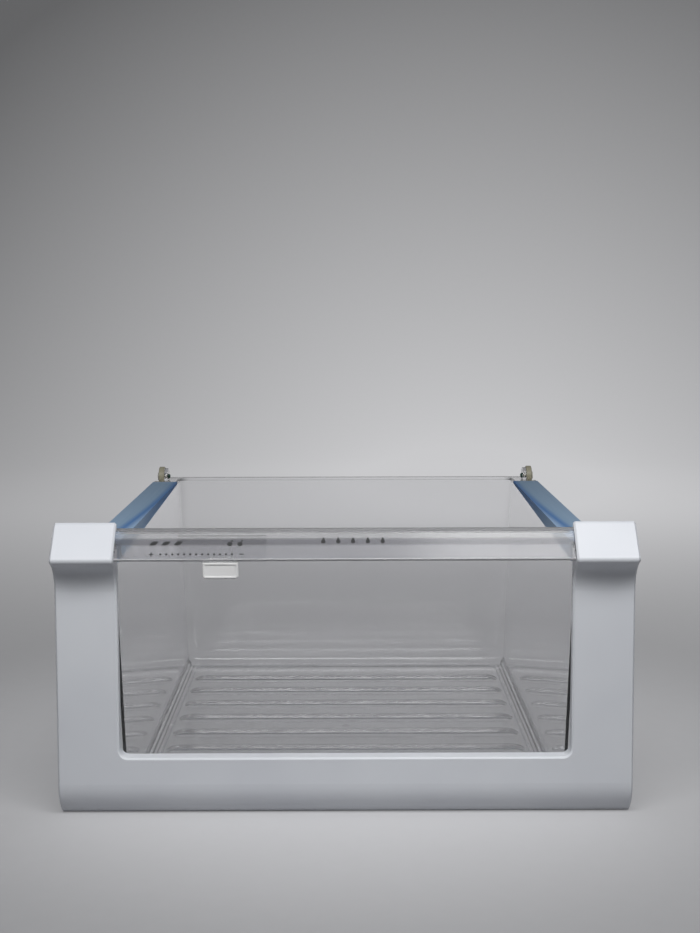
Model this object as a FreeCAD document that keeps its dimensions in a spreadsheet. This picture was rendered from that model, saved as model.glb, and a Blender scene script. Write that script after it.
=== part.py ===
import FreeCAD, Part
import math
import os

import Sketcher

# Crisper drawer for a refrigerator: a clear tub with a white front frame, a clear handle rail with a
# humidity slide, blue runner strips on the side rims and a roller at each rear corner.
# X runs across the front, the front faces -Y, Z is up. The origin is the centre of the base.
# Each body is drawn with Y = 0 where the lip's overhang starts, and its placement moves it back.

SIZES = {
    # overall
    "drawer_width": 394.6,
    "drawer_height": 203,
    "drawer_depth": 415,
    # front frame, a shell open at the back
    "frame_wall": 2.6,
    "frame_depth": 20,
    "frame_edge": 1.2,
    "upright_width": 42.3,
    "sill_height": 41.3,
    "window_radius": 6,
    "face_lean": 2.1,
    "roll_radius": 27.5,
    "roll_top": 23,
    "lip_overhang": 12.5,
    "lip_drop": 22.7,
    "lip_nose": 3,
    "lip_hollow": 22.2,
    "lip_turn": 67,
    "ear_slope": 48.5,
    "catch_reach": 2,
    "catch_height": 14,
    "catch_thickness": 2.5,
    # tub
    "tub_wall": 2.1,
    "floor_thickness": 3,
    "foot_height": 2,
    "foot_inset": 10,
    "front_setback": 9,
    "side_space": 40.3,
    "side_draft": 6.5,
    "rear_draft": 2,
    "rim_drop": 17.5,
    "rim_reach": 5,
    "flange_width": 21.5,
    "flange_thickness": 2.5,
    "flange_lip": 8,
    "corner_radius": 8,
    "floor_radius": 9,
    "foot_radius": 5,
    "plate_foot": 10,
    "plate_drop": 12,
    "plate_clearance": 0.5,
    # floor ribs
    "rib_count": 7,
    "rib_pitch": 41.4,
    "rib_rear_inset": 55.5,
    "rib_end_inset": 10.5,
    "rib_width": 19,
    "rib_height": 3,
    "gate_diameter": 5,
    "gate_depth": 0.6,
    # handle rail
    "rail_wall": 2.5,
    "rail_recess": 3,
    "rail_foot_drop": 22.5,
    "rail_top_drop": 5.6,
    "rail_back": 19.5,
    "rail_leg": 11.4,
    "rail_edge": 0.8,
    "rail_side_gap": 0.4,
    "tongue_reach": 13,
    "tongue_trim": 4,
    "tongue_gap": 0.25,
    "seat_inset": 2,
    "seat_width": 3,
    # humidity slide
    "slide_gap": 0.3,
    "slide_offset": 83.5,
    "button_width": 24,
    "button_height": 11.1,
    "button_thickness": 3,
    "button_setback": 4.5,
    "button_gap": 0.5,
    "button_radius": 2,
    "button_edge": 0.6,
    "button_border": 1.4,
    "button_dish": 0.5,
    "arm_width": 15,
    "arm_thickness": 2.2,
    "arm_lift": 1.1,
    "shutter_width": 60,
    "shutter_wall": 1.7,
    "shutter_height": 17,
    "shutter_hook": 4,
    # vent slots in the front wall
    "vent_count": 5,
    "vent_pitch": 8,
    "vent_width": 4,
    "vent_height": 8,
    "vent_radius": 1.8,
    "vent_drop": 16,
    "vent_side_gap": 2.5,
    # runner strips
    "strip_thickness": 0.8,
    "strip_leg": 11.8,
    "strip_rear_leg": 1.4,
    "strip_front_gap": 0.5,
    "strip_rear_gap": 13,
    # rollers and their pins
    "lug_offset": 10.3,
    "lug_thickness": 3,
    "lug_width": 15,
    "lug_foot": 9,
    "notch_gap": 3,
    "axle_inset": 17.5,
    "axle_rise": 3,
    "roller_diameter": 18,
    "roller_width": 5,
    "roller_rim": 2.5,
    "roller_hub": 8,
    "roller_recess": 0.8,
    "roller_edge": 0.5,
    "roller_side_gap": 0.3,
    "pin_diameter": 4,
    "pin_clearance": 0.05,
    "pin_head": 7,
    "pin_head_height": 1.2,
    "pin_barb": 0.5,
    "pin_barb_length": 1.6,
}

document = FreeCAD.newDocument("crisper_drawer")
sheet = document.addObject("Spreadsheet::Sheet", "dim")
for line, (alias, number) in enumerate(SIZES.items(), start=1):
    sheet.set(f"A{line}", alias)
    sheet.set(f"B{line}", str(number))
    sheet.setAlias(f"B{line}", alias)
document.recompute()

SIDES = {"left": -1, "right": 1}


def size(expression):
    return float(sheet.evalExpression(expression))


# Places that several pieces share, as expressions of the sheet
face_to_origin = "(dim.lip_overhang - dim.drawer_depth / 2)"
half_width = "(dim.drawer_width / 2)"
half_window = "(dim.drawer_width / 2 - dim.upright_width)"
half_mouth = "(dim.drawer_width / 2 - dim.side_space)"
half_floor = f"({half_mouth} - dim.side_draft)"
rim_top = "(dim.drawer_height - dim.rim_drop)"
floor_top = "(dim.foot_height + dim.floor_thickness)"
wall_back = "(dim.front_setback + dim.tub_wall)"
rim_rear = "(dim.drawer_depth - dim.lip_overhang)"
mouth_rear = f"({rim_rear} - dim.rim_reach - dim.tub_wall)"
floor_rear = f"({mouth_rear} - dim.rear_draft)"
plate_top = "(dim.drawer_height - dim.plate_drop)"
flange_edge = f"({half_mouth} + dim.flange_width)"
lug_inside = f"({half_mouth} + dim.lug_offset)"
lug_outside = f"({lug_inside} + dim.lug_thickness)"
axle_y = f"({rim_rear} - dim.axle_inset)"
axle_z = f"({rim_top} + dim.axle_rise)"
notch = f"({axle_y} - dim.roller_diameter / 2 - dim.notch_gap)"

# The lip's nose, its hollow underside, the leaning face and the roll at the foot are tangent in turn
nose_y = "(dim.lip_nose - dim.lip_overhang)"
nose_z = "(dim.drawer_height - dim.lip_drop)"
hollow_y = f"({nose_y} - (dim.lip_hollow + dim.lip_nose) * cos(dim.lip_turn))"
hollow_z = f"({nose_z} - (dim.lip_hollow + dim.lip_nose) * sin(dim.lip_turn))"
face_top_y = f"({hollow_y} + dim.lip_hollow * cos(dim.face_lean))"
face_top_z = f"({hollow_z} - dim.lip_hollow * sin(dim.face_lean))"
face_foot_y = f"({face_top_y} - ({face_top_z} - dim.roll_top) * tan(dim.face_lean))"
roll_y = f"({face_foot_y} + dim.roll_radius * cos(dim.face_lean))"
roll_z = "(dim.roll_top - dim.roll_radius * sin(dim.face_lean))"
roll_end = f"({roll_y} - sqrt(dim.roll_radius ^ 2 - {roll_z} ^ 2))"
ear_foot_y = f"({nose_y} - dim.lip_nose * sin(dim.ear_slope))"
ear_foot_z = f"({nose_z} + dim.lip_nose * cos(dim.ear_slope))"


def ear_y(height, depth="0"):
    """Where a plane under the ear's slope, at a depth below its skin, stands at a height."""
    run = f"({height} - {ear_foot_z}) / tan(dim.ear_slope)"
    return f"({ear_foot_y} + {run} + ({depth}) / sin(dim.ear_slope))"


def new_body(label, x="0", y=face_to_origin, z="0"):
    body = document.addObject("PartDesign::Body", label)
    body.Label = label
    for axis, place in zip("xyz", (x, y, z)):
        body.setExpression(f"Placement.Base.{axis}", place)
    return body


def datum(body, role):
    return next(item for item in body.Origin.OriginFeatures if item.Role == role)


def new_sketch(body, name, role, height="0", x="0", y="0"):
    """A sketch on one of the body's own planes, moved along the plane's normal and within it."""
    sketch = body.newObject("Sketcher::SketchObject", name)
    sketch.AttachmentSupport = [(datum(body, role), "")]
    sketch.MapMode = "FlatFace"
    for axis, shift in zip("xyz", (x, y, height)):
        sketch.setExpression(f"AttachmentOffset.Base.{axis}", shift)
    return sketch


def bind(sketch, kind, *items):
    *where, expression = items
    index = sketch.addConstraint(Sketcher.Constraint(kind, *where, size(expression)))
    sketch.setExpression(f"Constraints[{index}]", expression)


def arc_between(start, end, radius, turn):
    """The short arc from start to end: turn is 1 where it bends to the left, -1 to the right."""
    chord = end - start
    middle = (start + end) / 2
    rise = math.sqrt(max(radius ** 2 - (chord.Length / 2) ** 2, 0))
    left = FreeCAD.Vector(-chord.y, chord.x, 0).normalize()
    centre = middle + left * (rise * turn)
    first, last = (start, end) if turn > 0 else (end, start)
    angles = [math.atan2(point.y - centre.y, point.x - centre.x) for point in (first, last)]
    if angles[1] < angles[0]:
        angles[1] += 2 * math.pi
    return Part.ArcOfCircle(Part.Circle(centre, FreeCAD.Vector(0, 0, 1), radius), *angles)


def outline(sketch, corners):
    """A closed loop. A corner is (x, y), or (x, y, radius, turn) where an arc leads on from it."""
    points = [FreeCAD.Vector(size(corner[0]), size(corner[1]), 0) for corner in corners]
    ends = []
    for corner, start, end in zip(corners, points, points[1:] + points[:1]):
        if len(corner) == 2:
            edge = sketch.addGeometry(Part.LineSegment(start, end))
            ends.append((edge, 1, 2))
        else:
            radius, turn = corner[2:]
            edge = sketch.addGeometry(arc_between(start, end, size(radius), turn))
            ends.append((edge, 1, 2) if turn > 0 else (edge, 2, 1))
    for (edge, _, finish), (following, begin, _) in zip(ends, ends[1:] + ends[:1]):
        sketch.addConstraint(Sketcher.Constraint("Coincident", edge, finish, following, begin))
    for corner, (edge, begin, _) in zip(corners, ends):
        bind(sketch, "DistanceX", edge, begin, corner[0])
        bind(sketch, "DistanceY", edge, begin, corner[1])
        if len(corner) == 4:
            bind(sketch, "Radius", edge, corner[2])


def rectangle(sketch, x0, x1, y0, y1):
    outline(sketch, [(x0, y0), (x1, y0), (x1, y1), (x0, y1)])


def rounded_rectangle(sketch, x0, x1, y0, y1, radius):
    outline(
        sketch,
        [
            (f"{x0} + {radius}", y0),
            (f"{x1} - {radius}", y0, radius, 1),
            (x1, f"{y0} + {radius}"),
            (x1, f"{y1} - {radius}", radius, 1),
            (f"{x1} - {radius}", y1),
            (f"{x0} + {radius}", y1, radius, 1),
            (x0, f"{y1} - {radius}"),
            (x0, f"{y0} + {radius}", radius, 1),
        ],
    )


def circle(sketch, x, y, radius):
    centre = FreeCAD.Vector(size(x), size(y), 0)
    ring = sketch.addGeometry(Part.Circle(centre, FreeCAD.Vector(0, 0, 1), size(radius)))
    bind(sketch, "DistanceX", ring, 3, x)
    bind(sketch, "DistanceY", ring, 3, y)
    bind(sketch, "Radius", ring, radius)


def feature(body, kind, name, sketch, length=None, midplane=False, reverse=False):
    made = body.newObject(f"PartDesign::{kind}", name)
    made.Profile = sketch
    if length:
        made.setExpression("Length", length)
    made.Midplane = midplane
    made.Reversed = reverse
    document.recompute()
    return made


def turned(body, kind, name, sketch, axis):
    made = body.newObject(f"PartDesign::{kind}", name)
    made.Profile = sketch
    made.ReferenceAxis = (sketch, [axis])
    made.Angle = 360
    document.recompute()
    return made


def mirrored(body, name, originals):
    made = body.newObject("PartDesign::Mirrored", name)
    made.Originals = originals
    made.MirrorPlane = (datum(body, "YZ_Plane"), [""])
    body.Tip = made
    document.recompute()
    return made


def repeated(body, name, originals, axis, pitch, count):
    made = body.newObject("PartDesign::LinearPattern", name)
    made.Originals = originals
    made.Direction = (datum(body, axis), [""])
    made.Mode = "Spacing"
    made.setExpression("Offset", pitch)
    made.setExpression("Occurrences", count)
    body.Tip = made
    document.recompute()
    return made


def wedge(body, kind, name, foot, brim, low, high):
    """A block with leaning sides from the foot's (half width, front, rear) to the brim's."""
    made = body.newObject(f"PartDesign::{kind}", name)
    made.AttachmentSupport = [(datum(body, "XZ_Plane"), "")]
    made.MapMode = "FlatFace"
    places = {"Ymin": low, "Ymax": high}
    for level, (half, front, rear) in (("", foot), ("2", brim)):
        places |= {f"X{level}min": f"-{half}", f"X{level}max": half}
        places |= {f"Z{level}min": f"-{rear}", f"Z{level}max": f"-{front}"}
    for corner, place in places.items():
        made.setExpression(corner, place)
    document.recompute()
    return made


def eased(body, kind, name, base, amount, wanted):
    """Rounds or bevels the edges of base whose two end points pass the test."""
    names = [
        f"Edge{number}"
        for number, edge in enumerate(base.Shape.Edges, start=1)
        if wanted(edge.valueAt(edge.FirstParameter), edge.valueAt(edge.LastParameter))
    ]
    made = body.newObject(f"PartDesign::{kind}", name)
    made.Base = (base, names)
    made.setExpression("Radius" if kind == "Fillet" else "Size", amount)
    document.recompute()
    return made


def near(value, *others):
    """True where every other value is the same as the first, within a hundredth."""
    return all(abs(value - other) < 0.01 for other in others)


def build_front_frame():
    body = new_body("front_frame")
    profile = new_sketch(body, "frame_profile", "YZ_Plane")
    outline(
        profile,
        [
            (roll_end, "0", "dim.roll_radius", -1),
            (face_foot_y, "dim.roll_top"),
            (face_top_y, face_top_z, "dim.lip_hollow", 1),
            (
                f"{hollow_y} + dim.lip_hollow * cos(dim.lip_turn)",
                f"{hollow_z} + dim.lip_hollow * sin(dim.lip_turn)",
                "dim.lip_nose",
                -1,
            ),
            (ear_foot_y, ear_foot_z),
            (ear_y("dim.drawer_height"), "dim.drawer_height"),
            ("dim.frame_depth", "dim.drawer_height"),
            ("dim.frame_depth", "0"),
        ],
    )
    feature(body, "Pad", "frame_solid", profile, "dim.drawer_width", midplane=True)

    opening = new_sketch(body, "window_outline", "XZ_Plane")
    sill = "dim.sill_height"
    sill_corner = f"{sill} + dim.window_radius"
    outline(
        opening,
        [
            (f"-{half_window} + dim.window_radius", sill),
            (f"{half_window} - dim.window_radius", sill, "dim.window_radius", 1),
            (half_window, sill_corner),
            (half_window, "dim.drawer_height + dim.frame_wall"),
            (f"-{half_window}", "dim.drawer_height + dim.frame_wall"),
            (f"-{half_window}", sill_corner, "dim.window_radius", 1),
        ],
    )
    window = feature(body, "Pocket", "window", opening, "2 * dim.drawer_depth", midplane=True)

    back = size("dim.frame_depth")
    shell = body.newObject("PartDesign::Thickness", "shell")
    shell.Base = (
        window,
        [
            f"Face{number}"
            for number, face in enumerate(window.Shape.Faces, start=1)
            if face.BoundBox.YMin > back - 0.01
        ],
    )
    shell.setExpression("Value", "dim.frame_wall")
    shell.Reversed = True
    shell.Join = "Intersection"
    document.recompute()

    # The sharp edges of the outer skin: round the sides, over the tops of the ears and round the window
    outer, inner = size(half_width), size(half_window)
    top, ledge = size("dim.drawer_height"), size(sill)

    def on_skin(start, end):
        if near(top, start.z, end.z):
            return not near(back, start.y, end.y)
        if near(0, start.z, end.z) or near(back, start.y) or near(back, end.y):
            return False
        if near(start.x, end.x) and near(outer, abs(start.x)):
            return True
        return all(near(inner, abs(point.x)) or near(ledge, point.z) for point in (start, end))

    eased(body, "Chamfer", "skin_edges", shell, "dim.frame_edge", on_skin)

    # Inside the outer side walls, every return stops on the tub's front plate, and so do the ears above it
    seat = new_sketch(body, "plate_space", "XZ_Plane", height="-dim.front_setback")
    seat_half = f"({half_width} - dim.frame_wall)"
    ear_half = f"({half_width} + dim.frame_wall)"
    above = "dim.drawer_height + dim.frame_wall"
    outline(
        seat,
        [
            (f"-{seat_half}", "-dim.frame_wall"),
            (seat_half, "-dim.frame_wall"),
            (seat_half, plate_top),
            (ear_half, plate_top),
            (ear_half, above),
            (f"-{ear_half}", above),
            (f"-{ear_half}", plate_top),
            (f"-{seat_half}", plate_top),
        ],
    )
    feature(body, "Pocket", "plate_seat", seat, "dim.frame_depth")

    # The rail's tongues pass through the inner walls of the ears
    low = f"({nose_z} + dim.tongue_trim - dim.tongue_gap)"
    high = "(dim.drawer_height - dim.rail_top_drop + dim.tongue_gap)"
    depth = "dim.rail_recess - dim.tongue_gap"
    tunnel = new_sketch(body, "tongue_outline", "YZ_Plane")
    outline(
        tunnel,
        [
            (ear_y(low, depth), low),
            ("dim.frame_depth", low),
            ("dim.frame_depth", high),
            (ear_y(high, depth), high),
        ],
    )
    width = f"2 * ({half_window} + dim.frame_wall + dim.tongue_gap)"
    feature(body, "Pocket", "tongue_gaps", tunnel, width, midplane=True)

    # Catches on the side walls hold the edge of the tub's front plate
    catch = new_sketch(body, "catch_outline", "XY_Plane", height="dim.sill_height")
    wall_face = f"({half_width} - dim.frame_wall)"
    outline(
        catch,
        [
            (wall_face, wall_back),
            (f"{wall_face} - dim.catch_reach", wall_back),
            (wall_face, f"{wall_back} + dim.catch_thickness"),
        ],
    )
    first = feature(body, "Pad", "right_catch", catch, "dim.catch_height")
    mirrored(body, "left_catch", [first])
    return body


def build_tub():
    body = new_body("tub")
    mouth_out = f"({half_mouth} + dim.tub_wall)"
    floor_out = f"({half_floor} + dim.tub_wall)"
    wedge(
        body,
        "AdditiveWedge",
        "tub_block",
        (floor_out, "dim.front_setback", f"({floor_rear} + dim.tub_wall)"),
        (mouth_out, "dim.front_setback", f"({mouth_rear} + dim.tub_wall)"),
        "0",
        rim_top,
    )
    plate = new_sketch(body, "plate_outline", "XZ_Plane", height="-dim.front_setback")
    plate_half = f"({half_width} - dim.frame_wall - dim.plate_clearance)"
    rectangle(plate, f"-{plate_half}", plate_half, "dim.plate_foot", plate_top)
    feature(body, "Pad", "front_plate", plate, "dim.tub_wall", reverse=True)

    rim = new_sketch(body, "rim_outline", "XY_Plane", height=f"{rim_top} - dim.flange_thickness")
    outline(
        rim,
        [
            (f"-{flange_edge}", wall_back),
            (flange_edge, wall_back),
            (flange_edge, notch),
            (lug_outside, notch),
            (lug_outside, rim_rear),
            (f"-{lug_outside}", rim_rear),
            (f"-{lug_outside}", notch),
            (f"-{flange_edge}", notch),
        ],
    )
    feature(body, "Pad", "rim", rim, "dim.flange_thickness")

    lip = new_sketch(body, "flange_lip_outline", "XY_Plane", height=f"{rim_top} - dim.flange_lip")
    rectangle(lip, f"{flange_edge} - dim.tub_wall", flange_edge, wall_back, notch)
    right_lip = feature(body, "Pad", "right_flange_lip", lip, "dim.flange_lip")
    mirrored(body, "left_flange_lip", [right_lip])

    lug = new_sketch(body, "lug_outline", "YZ_Plane", height=lug_inside)
    lug_half = "dim.lug_width / 2"
    lug_low = f"{rim_top} - dim.lug_foot"
    outline(
        lug,
        [
            (f"{axle_y} - {lug_half}", lug_low),
            (f"{axle_y} + {lug_half}", lug_low),
            (f"{axle_y} + {lug_half}", axle_z, lug_half, 1),
            (axle_y, f"{axle_z} + {lug_half}", lug_half, 1),
            (f"{axle_y} - {lug_half}", axle_z),
        ],
    )
    circle(lug, axle_y, axle_z, "dim.pin_diameter / 2 + dim.pin_clearance")
    right_lug = feature(body, "Pad", "right_lug", lug, "dim.lug_thickness")
    mirrored(body, "left_lug", [right_lug])

    cavity = wedge(
        body,
        "SubtractiveWedge",
        "cavity",
        (half_floor, wall_back, floor_rear),
        (half_mouth, wall_back, mouth_rear),
        floor_top,
        rim_top,
    )
    low, front = size(floor_top), size(wall_back)
    cavity = eased(
        body,
        "Fillet",
        "inner_corners",
        cavity,
        "dim.corner_radius",
        lambda start, end: near(low, start.z) != near(low, end.z) and not near(front, start.y),
    )
    inside = eased(
        body,
        "Fillet",
        "floor_round",
        cavity,
        "dim.floor_radius",
        lambda start, end: near(low, start.z, end.z),
    )
    wall_rear = size(floor_rear) + size("dim.tub_wall")
    outside = eased(
        body,
        "Fillet",
        "rear_corners",
        inside,
        "dim.corner_radius + dim.tub_wall",
        lambda start, end: near(wall_rear, start.y) and near(0, start.z) and not near(0, end.z)
        or near(wall_rear, end.y) and near(0, end.z) and not near(0, start.z),
    )
    eased(
        body,
        "Fillet",
        "foot_round",
        outside,
        "dim.foot_radius",
        lambda start, end: near(0, start.z, end.z),
    )

    recess = new_sketch(body, "recess_outline", "XY_Plane")
    recess_half = f"({floor_out} - dim.foot_inset)"
    rounded_rectangle(
        recess,
        f"-{recess_half}",
        recess_half,
        "dim.front_setback + dim.foot_inset",
        f"{floor_rear} + dim.tub_wall - dim.foot_inset",
        "dim.corner_radius",
    )
    feature(body, "Pocket", "foot_recess", recess, "dim.foot_height", reverse=True)

    # Each floor rib is a low round bar with domed ends, hollow below, so the floor keeps its thickness
    rib_y = f"({floor_rear} - dim.rib_rear_inset - (dim.rib_count - 1) * dim.rib_pitch)"
    rib_half = "(dim.rib_width / 2)"
    rib_radius = f"(({rib_half} ^ 2 + dim.rib_height ^ 2) / (2 * dim.rib_height))"
    rib_centre = f"({floor_top} + dim.rib_height - {rib_radius})"
    dome_x = f"({half_floor} - dim.rib_end_inset - {rib_half})"
    hollow_radius = f"({rib_radius} - dim.floor_thickness)"
    hollow_half = f"sqrt({hollow_radius} ^ 2 - (dim.foot_height - {rib_centre}) ^ 2)"
    ribs = {
        "rib": ("Pad", "Revolution", rib_half, floor_top, rib_radius, f"{floor_top} + dim.rib_height"),
        "groove": ("Pocket", "Groove", hollow_half, "dim.foot_height", hollow_radius, floor_top),
    }
    for name, (bar_kind, dome_kind, half, base, radius, crown) in ribs.items():
        bar = new_sketch(body, f"{name}_section", "YZ_Plane")
        outline(
            bar,
            [
                (f"{rib_y} - {half}", base),
                (f"{rib_y} + {half}", base, radius, 1),
            ],
        )
        pieces = [feature(body, bar_kind, f"{name}_bar", bar, f"2 * {dome_x}", midplane=True)]
        for side, sign in SIDES.items():
            dome = new_sketch(
                body, f"{side}_{name}_dome", "XZ_Plane", height=f"-{rib_y}", x=f"{sign} * {dome_x}"
            )
            outline(dome, [("0", base), (half, base, radius, 1), ("0", crown)])
            pieces.append(turned(body, dome_kind, f"{side}_{name}_end", dome, "V_Axis"))
        repeated(body, f"{name}_row", pieces, "Y_Axis", "dim.rib_pitch", "dim.rib_count")

    # The gate mark under the floor lies midway between two ribs
    gate = new_sketch(body, "gate_outline", "XY_Plane", height="dim.foot_height")
    gate_y = f"({rib_y} + (floor(dim.rib_count / 2) - 0.5) * dim.rib_pitch)"
    circle(gate, "0", gate_y, "dim.gate_diameter / 2")
    feature(body, "Pocket", "gate_mark", gate, "dim.gate_depth", reverse=True)

    vent = new_sketch(body, "vent_outline", "XZ_Plane", height="-dim.front_setback")
    vent_x = f"(-{half_window} + dim.vent_side_gap)"
    vent_low = "(dim.drawer_height - dim.vent_drop - dim.vent_height)"
    rounded_rectangle(
        vent,
        vent_x,
        f"{vent_x} + dim.vent_width",
        vent_low,
        f"{vent_low} + dim.vent_height",
        "dim.vent_radius",
    )
    slot = feature(body, "Pocket", "vent", vent, "dim.tub_wall")
    repeated(body, "vent_row", [slot], "X_Axis", "dim.vent_pitch", "dim.vent_count")
    return body


def build_handle_rail():
    body = new_body("handle_rail")
    top = "(dim.drawer_height - dim.rail_top_drop)"
    foot = "(dim.drawer_height - dim.rail_foot_drop)"
    under = f"({top} - dim.rail_wall)"
    inside = "dim.rail_recess + dim.rail_wall"
    leg_foot = f"({top} - dim.rail_leg)"
    back = "dim.rail_back"
    leg_face = "(dim.rail_back - dim.rail_wall)"
    wall_run = "dim.rail_wall * sin(dim.ear_slope)"
    wall_fall = "dim.rail_wall * cos(dim.ear_slope)"

    def section(name, low):
        sketch = new_sketch(body, name, "YZ_Plane")
        low_y = ear_y(low, "dim.rail_recess")
        outline(
            sketch,
            [
                (low_y, low),
                (f"{low_y} + {wall_run}", f"{low} - {wall_fall}"),
                (ear_y(under, inside), under),
                (leg_face, under),
                (leg_face, leg_foot),
                (back, leg_foot),
                (back, top),
                (ear_y(top, "dim.rail_recess"), top),
            ],
        )
        return sketch

    face = section("rail_section", foot)
    feature(body, "Pad", "rail_face", face, f"2 * ({half_window} - dim.rail_side_gap)", midplane=True)
    tongue = section("tongue_section", f"({nose_z} + dim.tongue_trim + {wall_fall})")
    rail = feature(body, "Pad", "tongues", tongue, f"2 * ({half_window} + dim.tongue_reach)", midplane=True)

    # The rail's foot, both corners, and the front corner of its top
    low_y, low = size(ear_y(foot, "dim.rail_recess")), size(foot)
    corners = [
        (low_y, low),
        (low_y + size(wall_run), low - size(wall_fall)),
        (size(ear_y(top, "dim.rail_recess")), size(top)),
    ]
    eased(
        body,
        "Fillet",
        "rail_edges",
        rail,
        "dim.rail_edge",
        lambda start, end: any(near(y, start.y, end.y) and near(z, start.z, end.z) for y, z in corners),
    )

    seat_x = f"{half_window} + dim.tongue_reach - dim.seat_inset - dim.seat_width"
    seat = new_sketch(body, "seat_outline", "YZ_Plane", height=seat_x)
    rectangle(seat, ear_y(under, inside), back, plate_top, under)
    right_seat = feature(body, "Pad", "right_seat", seat, "dim.seat_width")
    mirrored(body, "left_seat", [right_seat])
    return body


# The slide's arm and shutter share these places
rail_foot_inside = "(dim.drawer_height - dim.rail_foot_drop - dim.rail_wall * cos(dim.ear_slope))"
button_top = f"({rail_foot_inside} - dim.button_gap)"
shutter_back = "(dim.front_setback - dim.slide_gap)"
shutter_face = f"({shutter_back} - dim.shutter_wall)"
button_face = "(dim.button_setback - dim.lip_overhang)"


def build_slider_button():
    body = new_body("slider_button", x="-dim.slide_offset")
    front = new_sketch(body, "button_outline", "XZ_Plane", height=f"-{button_face}")
    half = "dim.button_width / 2"
    low = f"({button_top} - dim.button_height)"
    outline(
        front,
        [
            (f"-{half} + dim.button_radius", low),
            (f"{half} - dim.button_radius", low, "dim.button_radius", 1),
            (half, f"{low} + dim.button_radius"),
            (half, button_top),
            (f"-{half}", button_top),
            (f"-{half}", f"{low} + dim.button_radius", "dim.button_radius", 1),
        ],
    )
    button = feature(body, "Pad", "button", front, "dim.button_thickness", reverse=True)
    face = size(button_face)
    eased(
        body,
        "Chamfer",
        "button_edges",
        button,
        "dim.button_edge",
        lambda start, end: near(face, start.y, end.y),
    )

    dish = new_sketch(body, "dish_outline", "XZ_Plane", height=f"-{button_face}")
    rounded_rectangle(
        dish,
        f"-{half} + dim.button_border",
        f"{half} - dim.button_border",
        f"{low} + dim.button_border",
        f"{button_top} - dim.button_border",
        "(dim.button_radius - dim.button_border / 2)",
    )
    feature(body, "Pocket", "dish", dish, "dim.button_dish")

    arm = new_sketch(body, "arm_outline", "YZ_Plane")
    arm_top = f"({button_top} + dim.arm_lift)"
    arm_start = f"({button_face} + dim.button_thickness)"
    rectangle(arm, arm_start, shutter_face, f"{arm_top} - dim.arm_thickness", arm_top)
    feature(body, "Pad", "arm", arm, "dim.arm_width", midplane=True)
    return body


def build_vent_shutter():
    body = new_body("vent_shutter", x="-dim.slide_offset")
    section = new_sketch(body, "shutter_section", "YZ_Plane")
    hook_face = f"({wall_back} + dim.slide_gap)"
    bridge = f"({plate_top} + dim.slide_gap)"
    crown = f"({bridge} + dim.shutter_wall)"
    outline(
        section,
        [
            (shutter_face, f"{crown} - dim.shutter_height"),
            (shutter_back, f"{crown} - dim.shutter_height"),
            (shutter_back, bridge),
            (hook_face, bridge),
            (hook_face, f"{bridge} - dim.shutter_hook"),
            (f"{hook_face} + dim.shutter_wall", f"{bridge} - dim.shutter_hook"),
            (f"{hook_face} + dim.shutter_wall", crown),
            (shutter_face, crown),
        ],
    )
    feature(body, "Pad", "shutter", section, "dim.shutter_width", midplane=True)
    return body


def build_runner_strip(side, sign):
    body = new_body(f"{side}_runner_strip")
    start = "(dim.rail_back + dim.strip_front_gap)"
    finish = f"({notch} - dim.strip_rear_gap)"
    section = new_sketch(body, "strip_section", "XZ_Plane", height=f"-{start}")
    lean = f"(dim.strip_leg * dim.side_draft / ({rim_top} - {floor_top}))"
    over = f"{rim_top} + dim.strip_thickness"
    corners = [
        (flange_edge, rim_top),
        (flange_edge, over),
        (f"({half_mouth} - dim.strip_thickness)", over),
        (f"({half_mouth} - dim.strip_thickness - {lean})", f"{rim_top} - dim.strip_leg"),
        (f"({half_mouth} - {lean})", f"{rim_top} - dim.strip_leg"),
        (half_mouth, rim_top),
    ]
    outline(section, [(f"{sign} * {x}", z) for x, z in corners])
    feature(body, "Pad", "strip", section, f"{finish} - {start}", reverse=True)

    # The hanging leg is cut on a slope and ends low at the rear
    trim = new_sketch(body, "leg_trim", "YZ_Plane")
    below = f"{rim_top} - dim.strip_leg - dim.strip_thickness"
    outline(
        trim,
        [
            (start, f"{rim_top} - dim.strip_leg"),
            (start, below),
            (finish, below),
            (finish, f"{rim_top} - dim.strip_rear_leg"),
        ],
    )
    feature(body, "Pocket", "leg_slope", trim, "2 * dim.drawer_width", midplane=True)
    return body


def build_roller(side, sign):
    inner = f"({lug_outside} + dim.roller_side_gap)"
    body = new_body(
        f"{side}_roller", x=f"{sign} * {inner}", y=f"{face_to_origin} + {axle_y}", z=axle_z
    )
    section = new_sketch(body, "roller_section", "XZ_Plane")
    bore = "(dim.pin_diameter / 2 + dim.pin_clearance)"
    hub = "dim.roller_hub / 2"
    tread = "dim.roller_diameter / 2"
    rim = f"({tread} - dim.roller_rim)"
    wide = "dim.roller_width"
    corners = [
        ("0", bore),
        (wide, bore),
        (wide, hub),
        (f"({wide} - dim.roller_recess)", hub),
        (f"({wide} - dim.roller_recess)", rim),
        (wide, rim),
        (wide, f"{tread} - dim.roller_edge"),
        (f"({wide} - dim.roller_edge)", tread),
        ("dim.roller_edge", tread),
        ("0", f"{tread} - dim.roller_edge"),
    ]
    outline(section, [(f"{sign} * {x}", z) for x, z in corners])
    turned(body, "Revolution", "roller", section, "H_Axis")
    return body


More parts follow.
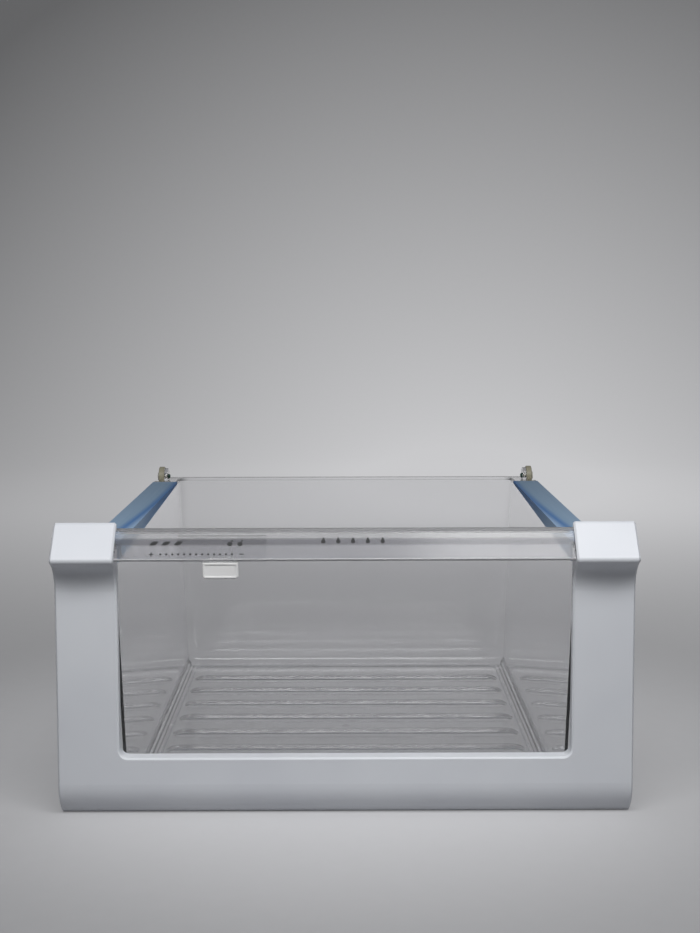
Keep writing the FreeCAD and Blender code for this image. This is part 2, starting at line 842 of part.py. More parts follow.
def build_roller_pin(side, sign):
    body = new_body(
        f"{side}_roller_pin", x=f"{sign} * {lug_inside}", y=f"{face_to_origin} + {axle_y}", z=axle_z
    )
    section = new_sketch(body, "pin_section", "XZ_Plane")
    shank = "dim.pin_diameter / 2"
    head = "(dim.lug_thickness + dim.roller_width + 2 * dim.roller_side_gap)"
    corners = [
        ("-dim.pin_barb_length", "0"),
        (f"({head} + dim.pin_head_height)", "0"),
        (f"({head} + dim.pin_head_height)", "dim.pin_head / 2"),
        (head, "dim.pin_head / 2"),
        (head, shank),
        ("0", shank),
        ("0", f"{shank} + dim.pin_barb"),
        ("-dim.pin_barb_length", f"{shank} - dim.pin_barb"),
    ]
    outline(section, [(f"{sign} * {x}", z) for x, z in corners])
    turned(body, "Revolution", "pin", section, "H_Axis")
    return body


bodies = [
    build_front_frame(),
    build_tub(),
    build_handle_rail(),
    build_slider_button(),
    build_vent_shutter(),
]
for side, sign in SIDES.items():
    bodies += [build_runner_strip(side, sign), build_roller(side, sign), build_roller_pin(side, sign)]
document.recompute()

faults = [item.Label for item in document.Objects if {"Invalid", "Error"} & set(item.State)]
faults += [body.Label for body in bodies if body.Shape.isNull() or not body.Shape.isValid()]
faults += [body.Label for body in bodies if len(body.Shape.Solids) != 1]
if faults:
    raise RuntimeError(f"failed: {faults}")

os.makedirs("parts", exist_ok=True)
for body in bodies:
    body.Shape.exportStep(f"parts/{body.Label}.step")
    print(body.Label, round(body.Shape.Volume), body.Shape.BoundBox)
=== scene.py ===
import math

import bmesh
import bpy
from mathutils import Matrix, Vector


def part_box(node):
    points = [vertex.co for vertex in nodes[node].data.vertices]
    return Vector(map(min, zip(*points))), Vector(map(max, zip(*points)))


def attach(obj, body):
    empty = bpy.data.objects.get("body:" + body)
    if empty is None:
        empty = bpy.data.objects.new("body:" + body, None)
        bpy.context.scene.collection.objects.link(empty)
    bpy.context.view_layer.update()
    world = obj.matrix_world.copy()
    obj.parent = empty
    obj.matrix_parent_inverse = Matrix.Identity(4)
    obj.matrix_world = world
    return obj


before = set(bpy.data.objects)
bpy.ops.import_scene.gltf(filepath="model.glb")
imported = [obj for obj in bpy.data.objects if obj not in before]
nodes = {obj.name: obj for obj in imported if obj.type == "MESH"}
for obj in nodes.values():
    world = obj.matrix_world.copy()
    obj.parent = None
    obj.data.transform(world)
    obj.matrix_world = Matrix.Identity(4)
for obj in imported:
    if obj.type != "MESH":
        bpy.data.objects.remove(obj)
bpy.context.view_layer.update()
mm = 0.001
noiseSpan = (0.3, 0.7)  # where most of a noise texture's values lie
print("frame loaded:", len(nodes), "nodes")


def linear(hexColour):
    shares = [int(hexColour[at:at + 2], 16) / 255 for at in (1, 3, 5)]
    return [c / 12.92 if c <= 0.04045 else ((c + 0.055) / 1.055) ** 2.4 for c in shares] + [1.0]


# adds a node: settings are its own properties and stops fill its colour ramp,
# values go to its input sockets, and a socket as value is linked
def addNode(tree, kind, values=None, stops=(), **settings):
    node = tree.nodes.new(kind)
    for name, setting in settings.items():
        setattr(node, name, setting)
    for socket, value in (values or {}).items():
        if isinstance(value, bpy.types.NodeSocket):
            tree.links.new(value, node.inputs[socket])
        else:
            node.inputs[socket].default_value = value
    if stops:
        elements = node.color_ramp.elements
        while len(elements) < len(stops):
            elements.new(0.5)
        for element, (position, colour) in zip(elements, stops):
            element.position = position
            element.color = colour
    return node


def newMaterial(name):
    material = bpy.data.materials.new(name)
    material.use_nodes = True
    tree = material.node_tree
    tree.nodes.clear()
    place = addNode(tree, "ShaderNodeTexCoord").outputs["Object"]
    return material, tree, place


# the rail's sloping front face: a point on its foot edge,
# and the directions along, up and out of it
def railFace():
    leastLean, samePlane = 0.6, 0.9999
    mesh = nodes["handle_rail"].data
    faces = [p for p in mesh.polygons if p.normal.y < -leastLean and p.normal.z > leastLean]
    out = max(faces, key=lambda p: p.area).normal.copy()
    along = Vector((1, 0, 0))
    up = out.cross(along)
    front = [p for p in faces if p.normal.dot(out) > samePlane]
    corners = [mesh.vertices[v].co for p in front for v in p.vertices]
    foot = min(corners, key=lambda co: co.dot(up))
    return Vector((0, foot.y, foot.z)), along, up, out


footEdge, along, up, out = railFace()
faceTurn = Matrix((along, up, out)).transposed()


def onRail(x, rise, proud=0.0):
    return footEdge + (along * x + up * rise + out * proud) * mm


# moulded ABS with a fine spark-eroded skin: a soft white with a wide dull highlight,
# and no grain from a step away
def satinWhiteAbs(name, look):
    material, tree, place = newMaterial(name)
    flow = addNode(
        tree,
        "ShaderNodeTexNoise",
        {"Vector": place, "Scale": 1 / (look["flowSize"] * mm), "Detail": 2},
    )
    dark, light = look["flowSpan"]
    tone = addNode(
        tree,
        "ShaderNodeValToRGB",
        {"Fac": flow.outputs["Fac"]},
        stops=[(dark, linear(look["shade"])), (light, linear(look["colour"]))],
    )
    skin = addNode(
        tree,
        "ShaderNodeTexNoise",
        {"Vector": place, "Scale": 1 / (look["skinSize"] * mm), "Detail": 3},
    )
    rough = addNode(
        tree,
        "ShaderNodeMapRange",
        {
            "Value": skin.outputs["Fac"],
            "From Min": noiseSpan[0],
            "From Max": noiseSpan[1],
            "To Min": look["roughness"][0],
            "To Max": look["roughness"][1],
        },
    )
    bump = addNode(
        tree,
        "ShaderNodeBump",
        {
            "Height": skin.outputs["Fac"],
            "Strength": look["skinStrength"],
            "Distance": look["skinDepth"] * mm,
        },
    )
    shader = addNode(
        tree,
        "ShaderNodeBsdfPrincipled",
        {
            "Base Color": tone.outputs["Color"],
            "Roughness": rough.outputs["Result"],
            "IOR": look["ior"],
            "Normal": bump.outputs["Normal"],
        },
    )
    addNode(tree, "ShaderNodeOutputMaterial", {"Surface": shader.outputs["BSDF"]})
    return material


# painted bands along the bar, for the shade and reflections seen in its clear face: each has its
# rise in mm up the sloping face, its colour and how clear it is
def paintedBandsUpRail(tree, place, paintedBands):
    rise = addNode(tree, "ShaderNodeVectorMath", {0: place, 1: up}, operation="DOT_PRODUCT")
    start, first, last = footEdge.dot(up), paintedBands[0][0], paintedBands[-1][0]
    share = addNode(
        tree,
        "ShaderNodeMapRange",
        {
            "Value": rise.outputs["Value"],
            "From Min": start + first * mm,
            "From Max": start + last * mm,
        },
    )
    stops = []
    for at, colour, clearness in paintedBands:
        stops.append(((at - first) / (last - first), linear(colour)[:3] + [clearness]))
    tone = addNode(tree, "ShaderNodeValToRGB", {"Fac": share.outputs["Result"]}, stops)
    return tone.outputs["Color"], tone.outputs["Alpha"]


# injection-moulded clear styrene: glassy with duller patches,
# and a rear wall a little duller than the rest, so that it mirrors nothing sharply
def clearMouldedStyrene(name, look):
    material, tree, place = newMaterial(name)
    # on the bar, painted bands of shade and reflection set the colour and how clear it is
    if "paintedBands" in look:
        colour, clearness = paintedBandsUpRail(tree, place, look["paintedBands"])
    else:
        colour, clearness = linear(look["colour"]), look["clearness"]
    haze = addNode(
        tree,
        "ShaderNodeTexNoise",
        {"Vector": place, "Scale": 1 / (look["hazeSize"] * mm), "Detail": 1},
    )
    rough = addNode(
        tree,
        "ShaderNodeMapRange",
        {
            "Value": haze.outputs["Fac"],
            "From Min": look["hazeSpan"][0],
            "From Max": look["hazeSpan"][1],
            "To Min": look["roughness"][0],
            "To Max": look["roughness"][1],
        },
    )
    parts = addNode(tree, "ShaderNodeSeparateXYZ", {"Vector": place})
    start, full = look["dullFrom"]
    rearWall = addNode(
        tree,
        "ShaderNodeMapRange",
        {
            "Value": parts.outputs["Y"],
            "From Min": start * mm,
            "From Max": full * mm,
            "To Max": look["dullness"],
        },
    )
    dull = addNode(
        tree,
        "ShaderNodeMath",
        {0: rough.outputs["Result"], 1: rearWall.outputs["Result"]},
        operation="ADD",
    )
    shader = addNode(
        tree,
        "ShaderNodeBsdfPrincipled",
        {
            "Base Color": colour,
            "Roughness": dull.outputs["Value"],
            "IOR": look["ior"],
            "Transmission Weight": clearness,
        },
    )
    addNode(tree, "ShaderNodeOutputMaterial", {"Surface": shader.outputs["BSDF"]})
    return material


frontLook = {
    "colour": "#EBEEF3",
    "shade": "#E4E7ED",
    "ior": 1.54,
    "flowSize": 90,  # mm, slow drift of tone along the melt's path
    "flowSpan": (0.35, 0.65),
    "skinSize": 1.4,  # mm, the eroded skin is about 0.3 mm and is drawn coarser to show
    "skinDepth": 0.02,  # mm
    "skinStrength": 0.35,
    "roughness": (0.36, 0.46),
}
# painted light: the button's white is painted lighter than the frame's, to make up for the shade
# it sits in under the bar
buttonLook = {
    **frontLook,
    "colour": "#FAFAF9",
    "shade": "#F5F5F5",
    "roughness": (0.30, 0.38),
}
tubLook = {
    "colour": "#FAFAFB",
    "ior": 1.57,
    "hazeSize": 60,  # mm, patches where the polish is duller
    "hazeSpan": (0.35, 0.75),
    "roughness": (0.008, 0.03),
    "clearness": 0.975,  # the rest is a faint milky bloom
    "dullFrom": (195, 197),  # mm back from the middle, only the rear wall is duller
    "dullness": 0.05,
}
railLook = {
    **tubLook,
    "roughness": (0.09, 0.14),
    "paintedBands": [
        # painted highlight: the milky foot stands in for the light caught on the bar's rounded
        # lower edge
        (-2.0, "#EDEDEF", 0.58),  # frosted foot
        (-0.1, "#EDEDEF", 0.58),
        (0.2, "#EDEDF0", 0.91),
        (10.2, "#EDEDF0", 0.91),
        # painted shade: a darker band
        (11.6, "#CECED2", 0.91),
        (15.2, "#CECED2", 0.91),
        # painted reflection: a bright, milkier band
        (16.4, "#FCFCFC", 0.84),
        (21.0, "#FCFCFC", 0.84),
        (21.6, "#F6F6F8", 0.91),
        (34.0, "#F6F6F8", 0.91),
    ],
}
shutterLook = {**tubLook, "roughness": (0.05, 0.10), "clearness": 0.96}

whiteAbs = satinWhiteAbs("satinWhiteAbs", frontLook)
whiteButtonAbs = satinWhiteAbs("glossierWhiteAbs", buttonLook)
clearStyrene = clearMouldedStyrene("clearMouldedStyrene", tubLook)
clearRailStyrene = clearMouldedStyrene("clearPolishedStyrene", railLook)
frostedStyrene = clearMouldedStyrene("frostedStyrene", shutterLook)
print("plastics ready")


# extruded soft vinyl: a see-through blue with painted shade along the fold, and a dull skin
stripLook = {
    "ior": 1.53,
    "drawSize": 3.0,  # mm, faint lines left by the die
    "drawStretch": 40,
    "roughness": (0.50, 0.64),
    "shine": 0.25,  # dull skin, less mirror than bare vinyl when seen along the strip
    "bumpStrength": 0.15,
    "bumpDepth": 0.05,  # mm
    "transmission": 0.15,
    "foldShadeRun": (118, -106),  # mm along the drawer, rear to front
    "foldShadePlace": (156.2, 163.8),  # mm from the middle, the fold wanders outwards to the front
    "foldShadeBow": 1.9,
    "foldShadeReach": 10,  # mm to each side of the fold, over which the tones run
    # painted shade: across the strip the blue runs from one tone to the other, darkest along the
    # fold
    "tonesWithFoldShade": [
        (0.0, "#B4CFEC"),
        (0.24, "#A6C4E4"),
        (0.5, "#5586C2"),  # the fold itself
        (0.76, "#98B6D2"),
        (1.0, "#9EBAD5"),
    ],
}


def blueSoftVinyl(look):
    material, tree, place = newMaterial("blueSoftVinyl")
    stretch = addNode(
        tree,
        "ShaderNodeMapping",
        {"Vector": place, "Scale": (1, 1 / look["drawStretch"], 1)},
    )
    lines = addNode(
        tree,
        "ShaderNodeTexNoise",
        {
            "Vector": stretch.outputs["Vector"],
            "Scale": 1 / (look["drawSize"] * mm),
            "Detail": 3,
        },
    )
    rough = addNode(
        tree,
        "ShaderNodeMapRange",
        {
            "Value": lines.outputs["Fac"],
            "From Min": noiseSpan[0],
            "From Max": noiseSpan[1],
            "To Min": look["roughness"][0],
            "To Max": look["roughness"][1],
        },
    )
    bump = addNode(
        tree,
        "ShaderNodeBump",
        {
            "Height": lines.outputs["Fac"],
            "Strength": look["bumpStrength"],
            "Distance": look["bumpDepth"] * mm,
        },
    )
    parts = addNode(tree, "ShaderNodeSeparateXYZ", {"Vector": place})
    side = addNode(tree, "ShaderNodeMath", {0: parts.outputs["X"]}, operation="ABSOLUTE")
    rear, front = look["foldShadeRun"]
    run = addNode(
        tree,
        "ShaderNodeMapRange",
        {"Value": parts.outputs["Y"], "From Min": rear * mm, "From Max": front * mm},
    )
    bow = addNode(
        tree,
        "ShaderNodeMath",
        {0: run.outputs["Result"], 1: look["foldShadeBow"]},
        operation="POWER",
    )
    inner, outer = look["foldShadePlace"]
    foldShade = addNode(
        tree,
        "ShaderNodeMapRange",
        {"Value": bow.outputs["Value"], "To Min": inner * mm, "To Max": outer * mm},
    )
    gap = addNode(
        tree,
        "ShaderNodeMath",
        {0: side.outputs["Value"], 1: foldShade.outputs["Result"]},
        operation="SUBTRACT",
    )
    share = addNode(
        tree,
        "ShaderNodeMapRange",
        {
            "Value": gap.outputs["Value"],
            "From Min": -look["foldShadeReach"] * mm,
            "From Max": look["foldShadeReach"] * mm,
        },
    )
    # painted shade: the blue is darkest in a band along the fold
    tone = addNode(
        tree,
        "ShaderNodeValToRGB",
        {"Fac": share.outputs["Result"]},
        stops=[(at, linear(shade)) for at, shade in look["tonesWithFoldShade"]],
    )
    shader = addNode(
        tree,
        "ShaderNodeBsdfPrincipled",
        {
            "Base Color": tone.outputs["Color"],
            "Roughness": rough.outputs["Result"],
            "IOR": look["ior"],
            "Specular IOR Level": look["shine"],
            "Transmission Weight": look["transmission"],
            "Normal": bump.outputs["Normal"],
        },
    )
    addNode(tree, "ShaderNodeOutputMaterial", {"Surface": shader.outputs["BSDF"]})
    return material


# turned acetal wheel with a tan tyre moulded on: waxy cream sides and a tan tread, of one finish
rollerLook = {
    "ior": 1.48,
    "hub": "#ECE8DC",
    "tyre": "#ABA68F",
    "tyreDepth": 0.45,  # mm of the rim's radius that the tyre takes
    "tyreBlend": 0.1,  # mm
    "roughness": (0.34, 0.5),
    "grainSize": 1.2,  # mm
}


def creamAcetal(name, axle, radius, look):
    material, tree, place = newMaterial(name)
    centre = addNode(tree, "ShaderNodeMapping", {"Vector": place, "Location": -axle})
    flat = addNode(
        tree,
        "ShaderNodeVectorMath",
        {0: centre.outputs["Vector"], 1: (0, 1, 1)},
        operation="MULTIPLY",
    )
    reach = addNode(tree, "ShaderNodeVectorMath", {0: flat.outputs["Vector"]}, operation="LENGTH")
    edge = radius - look["tyreDepth"] * mm
    share = addNode(
        tree,
        "ShaderNodeMapRange",
        {
            "Value": reach.outputs["Value"],
            "From Min": edge - look["tyreBlend"] * mm,
            "From Max": edge,
        },
    )
    tone = addNode(
        tree,
        "ShaderNodeValToRGB",
        {"Fac": share.outputs["Result"]},
        stops=[(0.0, linear(look["hub"])), (1.0, linear(look["tyre"]))],
    )
    grain = addNode(
        tree,
        "ShaderNodeTexNoise",
        {"Vector": place, "Scale": 1 / (look["grainSize"] * mm), "Detail": 2},
    )
    rough = addNode(
        tree,
        "ShaderNodeMapRange",
        {
            "Value": grain.outputs["Fac"],
            "From Min": noiseSpan[0],
            "From Max": noiseSpan[1],
            "To Min": look["roughness"][0],
            "To Max": look["roughness"][1],
        },
    )
    shader = addNode(
        tree,
        "ShaderNodeBsdfPrincipled",
        {
            "Base Color": tone.outputs["Color"],
            "Roughness": rough.outputs["Result"],
            "IOR": look["ior"],
        },
    )
    addNode(tree, "ShaderNodeOutputMaterial", {"Surface": shader.outputs["BSDF"]})
    return material


# moulded nylon pin: a pale dull shank with a dark green inner head
pinLook = {
    "ior": 1.53,
    "head": "#22463B",
    "shank": "#D9D6CB",
    "headEnd": (168.1, 168.2),  # mm from the middle, where the green stops
    "roughness": 0.42,
}


def greenHeadedNylon(look):
    material, tree, place = newMaterial("greenHeadedNylon")
    parts = addNode(tree, "ShaderNodeSeparateXYZ", {"Vector": place})
    side = addNode(tree, "ShaderNodeMath", {0: parts.outputs["X"]}, operation="ABSOLUTE")
    green, pale = look["headEnd"]
    share = addNode(
        tree,
        "ShaderNodeMapRange",
        {"Value": side.outputs["Value"], "From Min": green * mm, "From Max": pale * mm},
    )
    tone = addNode(
        tree,
        "ShaderNodeValToRGB",
        {"Fac": share.outputs["Result"]},
        stops=[(0.0, linear(look["head"])), (1.0, linear(look["shank"]))],
    )
    shader = addNode(
        tree,
        "ShaderNodeBsdfPrincipled",
        {
            "Base Color": tone.outputs["Color"],
            "Roughness": look["roughness"],
            "IOR": look["ior"],
        },
    )
    addNode(tree, "ShaderNodeOutputMaterial", {"Surface": shader.outputs["BSDF"]})
    return material


# pad-printed ink: near black, with a slightly uneven dull face
inkLook = {
    "ior": 1.5,
    "colour": "#202124",
    "shade": "#121315",
    "speckSize": 0.8,  # mm
    "roughness": 0.55,
}


def blackPadPrintInk(look):
    material, tree, place = newMaterial("blackPadPrintInk")
    speck = addNode(
        tree,
        "ShaderNodeTexNoise",
        {"Vector": place, "Scale": 1 / (look["speckSize"] * mm), "Detail": 2},
    )
    dark, light = noiseSpan
    tone = addNode(
        tree,
        "ShaderNodeValToRGB",
        {"Fac": speck.outputs["Fac"]},
        stops=[(dark, linear(look["shade"])), (light, linear(look["colour"]))],
    )
    shader = addNode(
        tree,
        "ShaderNodeBsdfPrincipled",
        {
            "Base Color": tone.outputs["Color"],
            "Roughness": look["roughness"],
            "IOR": look["ior"],
        },
    )
    addNode(tree, "ShaderNodeOutputMaterial", {"Surface": shader.outputs["BSDF"]})
    return material


blueVinyl = blueSoftVinyl(stripLook)
greenPin = greenHeadedNylon(pinLook)
blackInk = blackPadPrintInk(inkLook)


def dress(node, material):
    piece = nodes[node]
    piece.data.materials.clear()
    piece.data.materials.append(material)


dress("front_frame", whiteAbs)
dress("slider_button", whiteButtonAbs)
dress("tub", clearStyrene)
dress("handle_rail", clearRailStyrene)
dress("vent_shutter", frostedStyrene)
for side in ("left", "right"):
    low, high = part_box(side + "_roller")
    axle, radius = (low + high) / 2, (high.z - low.z) / 2
    dress(side + "_roller", creamAcetal(side + "CreamAcetal", axle, radius, rollerLook))
    dress(side + "_roller_pin", greenPin)
    dress(side + "_runner_strip", blueVinyl)
print("frame dressed")


printLook = {
    "ink": 0.05,  # mm, how proud the ink stands
    "dotCount": 13,
    "dotPitch": 4.0,  # mm
    "dotSize": 1.45,  # mm across
    "dotSides": 20,
    "dotStart": -123.6,  # mm from the middle of the drawer
    "dotRise": 3.6,  # mm up the sloping face from its foot
}


# a row of printed dots, one cylinder of ink per step along a line
def dotTree(material):
    tree = bpy.data.node_groups.new("printedDots", "GeometryNodeTree")
    for name, kind in (
        ("Count", "NodeSocketInt"),
        ("Start", "NodeSocketVector"),
        ("Step", "NodeSocketVector"),
        ("Turn", "NodeSocketRotation"),
        ("Sides", "NodeSocketInt"),
        ("Radius", "NodeSocketFloat"),
        ("Ink", "NodeSocketFloat"),
    ):
        tree.interface.new_socket(name, in_out="INPUT", socket_type=kind)
    tree.interface.new_socket("Geometry", in_out="OUTPUT", socket_type="NodeSocketGeometry")
    given = addNode(tree, "NodeGroupInput").outputs
    row = addNode(
        tree,
        "GeometryNodeMeshLine",
        {"Count": given["Count"], "Start Location": given["Start"], "Offset": given["Step"]},
    )
    dot = addNode(
        tree,
        "GeometryNodeMeshCylinder",
        {"Vertices": given["Sides"], "Radius": given["Radius"], "Depth": given["Ink"]},
    )
    placed = addNode(
        tree,
        "GeometryNodeInstanceOnPoints",
        {
            "Points": row.outputs["Mesh"],
            "Instance": dot.outputs["Mesh"],
            "Rotation": given["Turn"],
        },
    )
    real = addNode(
        tree,
        "GeometryNodeRealizeInstances",
        {"Geometry": placed.outputs["Instances"]},
    )
    inked = addNode(
        tree,
        "GeometryNodeSetMaterial",
        {"Geometry": real.outputs["Geometry"], "Material": material},
    )
    addNode(tree, "NodeGroupOutput", {"Geometry": inked.outputs["Geometry"]})
    return tree


def seat(piece, body):
    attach(piece, body)


def printDots(look):
    piece = bpy.data.objects.new("printed_scale", bpy.data.meshes.new("printed_scale"))
    bpy.context.scene.collection.objects.link(piece)
    tree = dotTree(blackInk)
    modifier = piece.modifiers.new("dots", "NODES")
    modifier.node_group = tree
    start = onRail(look["dotStart"], look["dotRise"], look["ink"] / 2)
    given = {
        "Count": look["dotCount"],
        "Start": start,
        "Step": along * look["dotPitch"] * mm,
        "Turn": faceTurn.to_euler(),
        "Sides": look["dotSides"],
        "Radius": look["dotSize"] / 2 * mm,
        "Ink": look["ink"] * mm,
    }
    for item in tree.interface.items_tree:
        if item.in_out == "INPUT":
            modifier[item.identifier] = given[item.name]
    shown = piece.evaluated_get(bpy.context.evaluated_depsgraph_get())
    mesh = bpy.data.meshes.new_from_object(shown)
    piece.modifiers.clear()
    piece.data = mesh
    seat(piece, "drawer")


printDots(printLook)
print("scale printed")


# outlines in mm, closed loops that turn to the left
def leafOutline(length, bulge, steps=10):
    side = [
        (length * (step / steps - 0.5), bulge * math.sin(math.pi * step / steps))
        for step in range(steps + 1)
    ]
    return [(x, -y) for x, y in side] + [(x, y) for x, y in reversed(side[1:-1])]


def discOutline(radius, steps=24):
    turns = [2 * math.pi * step / steps for step in range(steps)]
    return [(radius * math.cos(turn), radius * math.sin(turn)) for turn in turns]


def dropOutline(radius, tip, steps=20):
    sweep = math.pi * 1.5
    start = -math.pi * 1.25
    turns = [start + sweep * step / steps for step in range(steps + 1)]
    return [(radius * math.cos(turn), radius * math.sin(turn)) for turn in turns] + [(0, tip)]


def barOutline(width, height):
    x, y = width / 2, height / 2
    return [(-x, -y), (x, -y), (x, y), (-x, y)]


# marks for the two ends of the scale and for moist air, each shape in them
# with its outline, its turn in degrees, and its place across and up the sloping face in mm
leavesAt = (-128.6, -120.4, -112.2)
fruitsAt = (-77.4, -70.6)
dropsAt = (-14.5, -4.5, 5.5, 15.5, 25.5)
marks = {
    "leafMark": [(leafOutline(6.4, 1.5), 24, x, 12.2) for x in leavesAt],
    "fruitMark": [
        *((discOutline(1.7), 0, x, 11.6) for x in fruitsAt),
        *((leafOutline(2.2, 0.5), 35, x + 1.2, 14.0) for x in fruitsAt),
    ],
    "plusMark": [
        (barOutline(3.2, 0.7), 0, -129.8, 3.6),
        (barOutline(0.7, 1.25), 0, -129.8, 4.575),
        (barOutline(0.7, 1.25), 0, -129.8, 2.625),
    ],
    "minusMark": [(barOutline(3.2, 0.7), 0, -69.2, 3.6)],
    "dropMark": [(dropOutline(1.5, 3.6), 0, x, 13.4) for x in dropsAt],
}


def printMark(name, shapes, ink):
    form = bmesh.new()
    for outline, turn, x, rise in shapes:
        swing = Matrix.Rotation(math.radians(turn), 2)
        rings = []
        for proud in (0.0, ink):
            ring = []
            for point in outline:
                offset = swing @ Vector(point)
                ring.append(form.verts.new(onRail(x + offset.x, rise + offset.y, proud)))
            rings.append(ring)
        below, above = rings
        form.faces.new(above)
        form.faces.new(list(reversed(below)))
        for at in range(len(outline)):
            after = (at + 1) % len(outline)
            form.faces.new((below[at], below[after], above[after], above[at]))
    mesh = bpy.data.meshes.new(name)
    form.to_mesh(mesh)
    form.free()
    mesh.materials.append(blackInk)
    piece = bpy.data.objects.new(name, mesh)
    bpy.context.scene.collection.objects.link(piece)
    seat(piece, "drawer")


for name, shapes in marks.items():
    printMark(name, shapes, printLook["ink"])
print("marks printed")


# a seamless studio of matt paper with painted light: the paper is painted paler round the object
# as a pool of light, and a painted glow brightens the backdrop in a pool; a flat floor, a
# quarter-round cove and a wall
studioLook = {
    "floorRadius": 1.9,  # m
    "coveRadius": 0.9,
    "wallTop": 2.6,
    "steps": 96,
    "coveSteps": 24,
    "weld": 1e-5,  # m, joins the points that meet where the spin closes
    "paper": "#B8B8BA",
    # painted shade: away from the object the paper is painted this darker colour, outside a
    # painted pool of light
    "shade": "#757577",
    "paintedLightReach": (0.18, 0.45),  # m from the middle of the object
    "fleckSize": 14,  # mm, slight mottle of matt paper
    "fleck": 0.06,
    "ior": 1.45,
    "roughness": 0.85,
    "poolCentre": (0.26, 1.65, 0.0),  # where the backdrop looks brightest
    "poolShape": (0.8, 0.45, 0.85),  # the pool is long from front to back
    "poolReach": (0.2, 1.35),
    "poolGlow": (0.56, 0.11),  # in the middle of the pool, and away from it
    "poolFront": (0.1, 1.3),  # m, the pool dies away from behind the object to under it
    "poolFrontShare": 0.6,
    "poolColour": "#FDFDFF",
}


def studioPaperPaintedPool(look):
    material, tree, place = newMaterial("mattStudioPaperPaintedPool")
    fleck = addNode(
        tree,
        "ShaderNodeTexNoise",
        {"Vector": place, "Scale": 1 / (look["fleckSize"] * mm), "Detail": 4},
    )
    # painted shade: the paper's colour darkens with distance from the object, as if a pool of
    # light fell round it
    near, far = look["paintedLightReach"]
    away = addNode(tree, "ShaderNodeVectorMath", {0: place}, operation="LENGTH")
    paintedShadeShare = addNode(
        tree,
        "ShaderNodeMapRange",
        {
            "Value": away.outputs["Value"],
            "From Min": near,
            "From Max": far,
            "To Max": 1 - look["fleck"],
        },
        interpolation_type="SMOOTHSTEP",
    )
    fleckAndPaintedShade = addNode(
        tree,
        "ShaderNodeMath",
        {0: fleck.outputs["Fac"], 1: look["fleck"], 2: paintedShadeShare.outputs["Result"]},
        operation="MULTIPLY_ADD",
    )
    tone = addNode(
        tree,
        "ShaderNodeValToRGB",
        {"Fac": fleckAndPaintedShade.outputs["Value"]},
        stops=[(0.0, linear(look["paper"])), (1.0, linear(look["shade"]))],
    )
    shader = addNode(
        tree,
        "ShaderNodeBsdfPrincipled",
        {
            "Base Color": tone.outputs["Color"],
            "Roughness": look["roughness"],
            "IOR": look["ior"],
        },
    )
    # painted glow: the backdrop shines in a pool, brightest behind the object, for camera, mirror
    # and see-through rays only
    weights = Vector(look["poolShape"])
    offset = addNode(
        tree,
        "ShaderNodeMapping",
        {
            "Vector": place,
            "Scale": weights,
            "Location": -weights * Vector(look["poolCentre"]),
        },
    )
    reach = addNode(
        tree,
        "ShaderNodeVectorMath",
        {0: offset.outputs["Vector"]},
        operation="LENGTH",
    )
    near, far = look["poolReach"]
    most, least = look["poolGlow"]
    pool = addNode(
        tree,
        "ShaderNodeMapRange",
        {
            "Value": reach.outputs["Value"],
            "From Min": near,
            "From Max": far,
            "To Min": most,
            "To Max": least,
        },
    )
    parts = addNode(tree, "ShaderNodeSeparateXYZ", {"Vector": place})
    near, far = look["poolFront"]
    fade = addNode(
        tree,
        "ShaderNodeMapRange",
        {
            "Value": parts.outputs["Y"],
            "From Min": near,
            "From Max": far,
            "To Min": look["poolFrontShare"],
        },
        interpolation_type="SMOOTHSTEP",
    )
    level = addNode(
        tree,
        "ShaderNodeMath",
        {0: pool.outputs["Result"], 1: fade.outputs["Result"]},
        operation="MULTIPLY",
    )
    path = addNode(tree, "ShaderNodeLightPath")
    seen = addNode(
        tree,
        "ShaderNodeMath",
        {0: path.outputs["Is Camera Ray"], 1: path.outputs["Is Glossy Ray"]},
        operation="ADD",
    )
    seen = addNode(
        tree,
        "ShaderNodeMath",
        {0: seen.outputs["Value"], 1: path.outputs["Is Transmission Ray"]},
        operation="ADD",
        use_clamp=True,
    )
    strength = addNode(
        tree,
        "ShaderNodeMath",
        {0: seen.outputs["Value"], 1: level.outputs["Value"]},
        operation="MULTIPLY",
    )
    glow = addNode(
        tree,
        "ShaderNodeEmission",
        {"Color": linear(look["poolColour"]), "Strength": strength.outputs["Value"]},
    )
    both = addNode(
        tree,
        "ShaderNodeAddShader",
        {0: shader.outputs["BSDF"], 1: glow.outputs["Emission"]},
    )
    addNode(tree, "ShaderNodeOutputMaterial", {"Surface": both.outputs["Shader"]})
    return material


def buildStudio(look):
    flat, bend, top = look["floorRadius"], look["coveRadius"], look["wallTop"]
    profile = [(0.0, 0.0), (flat, 0.0)]
    for step in range(1, look["coveSteps"] + 1):
        turn = math.pi / 2 * step / look["coveSteps"]
        profile.append((flat + bend * math.sin(turn), bend * (1 - math.cos(turn))))
    profile.append((flat + bend, top))
    form = bmesh.new()
    points = [form.verts.new((reach, 0, height)) for reach, height in profile]
    lines = [form.edges.new(pair) for pair in zip(points, points[1:])]
    bmesh.ops.spin(
        form,
        geom=points + lines,
        axis=(0, 0, 1),
        cent=(0, 0, 0),
        angle=2 * math.pi,
        steps=look["steps"],
        use_merge=True,
    )
    bmesh.ops.remove_doubles(form, verts=form.verts, dist=look["weld"])
    bmesh.ops.recalc_face_normals(form, faces=form.faces)
    mesh = bpy.data.meshes.new("studio_sweep")
    form.to_mesh(mesh)
    form.free()
    for face in mesh.polygons:
        face.use_smooth = True
    mesh.materials.append(studioPaperPaintedPool(look))
    sweep = bpy.data.objects.new("studio_sweep", mesh)
    bpy.context.scene.collection.objects.link(sweep)


buildStudio(studioLook)

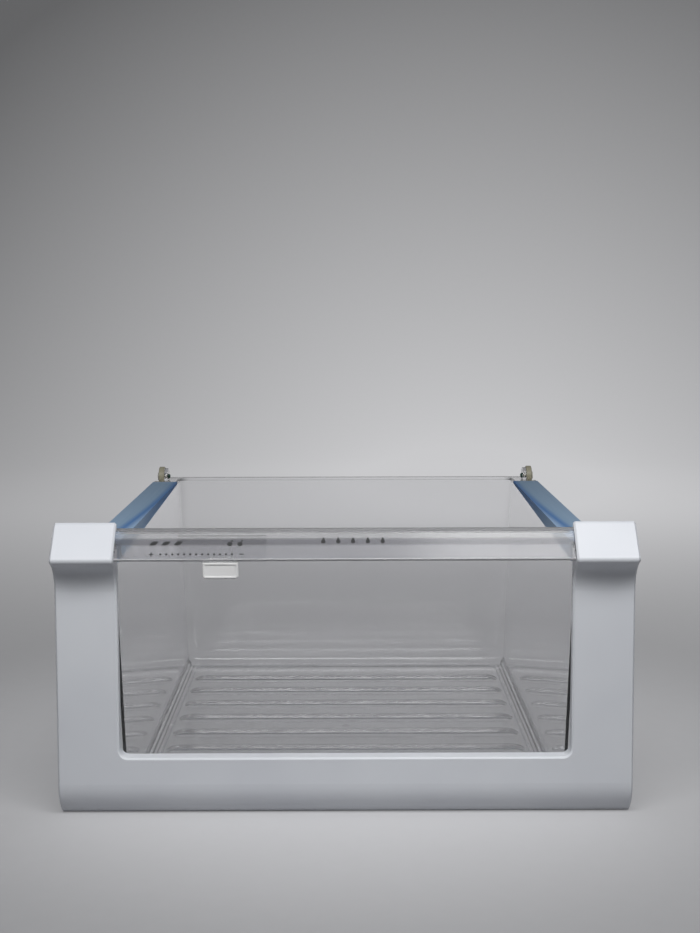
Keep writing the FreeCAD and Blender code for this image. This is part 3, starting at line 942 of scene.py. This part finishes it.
# one wide soft box above and ahead, a small one overhead that the bar mirrors, and a dim even room
lampLook = {
    "softBox": {
        "place": (0.03, -0.58, 0.69),
        "aim": (0.0, -0.20, 0.12),
        "size": (1.0, 0.28),
        "power": 4.8,
    },
    "smallBox": {
        "place": (0.27, -0.58, 1.45),
        "aim": (0.11, -0.2, 0.19),
        "size": (0.28, 0.30),
        "power": 0.65,
    },
}
roomLook = {"colour": "#B8BCC4", "strength": 0.34}


def buildLamp(name, look):
    lamp = bpy.data.lights.new(name, "AREA")
    lamp.shape = "RECTANGLE"
    lamp.size, lamp.size_y = look["size"]
    lamp.energy = look["power"]
    holder = bpy.data.objects.new(name, lamp)
    bpy.context.scene.collection.objects.link(holder)
    holder.location = look["place"]
    aim = Vector(look["aim"]) - Vector(look["place"])
    holder.rotation_euler = aim.to_track_quat("-Z", "Y").to_euler()


def buildRoom(look):
    world = bpy.data.worlds.new("room")
    bpy.context.scene.world = world
    world.use_nodes = True
    tree = world.node_tree
    tree.nodes.clear()
    glow = addNode(
        tree,
        "ShaderNodeBackground",
        {"Color": linear(look["colour"]), "Strength": look["strength"]},
    )
    addNode(tree, "ShaderNodeOutputWorld", {"Surface": glow.outputs["Background"]})


for name, look in lampLook.items():
    buildLamp(name, look)
buildRoom(roomLook)

# the view: a little above the rim, straight on
cameraLook = {
    "place": (0.0016, -1.126, 0.350),
    "pitch": 6.62,  # degrees down
    "yaw": 0.14,  # degrees to the right
    "roll": 0.15,
    "focal": 54.02,  # mm on a 36 mm sensor laid along the tall side
    "sensor": 36.0,
}


def buildCamera(look):
    lens = bpy.data.cameras.new("camera")
    lens.lens = look["focal"]
    lens.sensor_width = look["sensor"]
    lens.sensor_fit = "AUTO"
    camera = bpy.data.objects.new("camera", lens)
    bpy.context.scene.collection.objects.link(camera)
    camera.location = look["place"]
    turn = (90 - look["pitch"], look["roll"], -look["yaw"])
    camera.rotation_euler = [math.radians(angle) for angle in turn]
    bpy.context.scene.camera = camera


buildCamera(cameraLook)
bpy.context.scene.view_settings.view_transform = "Standard"
print("studio ready")
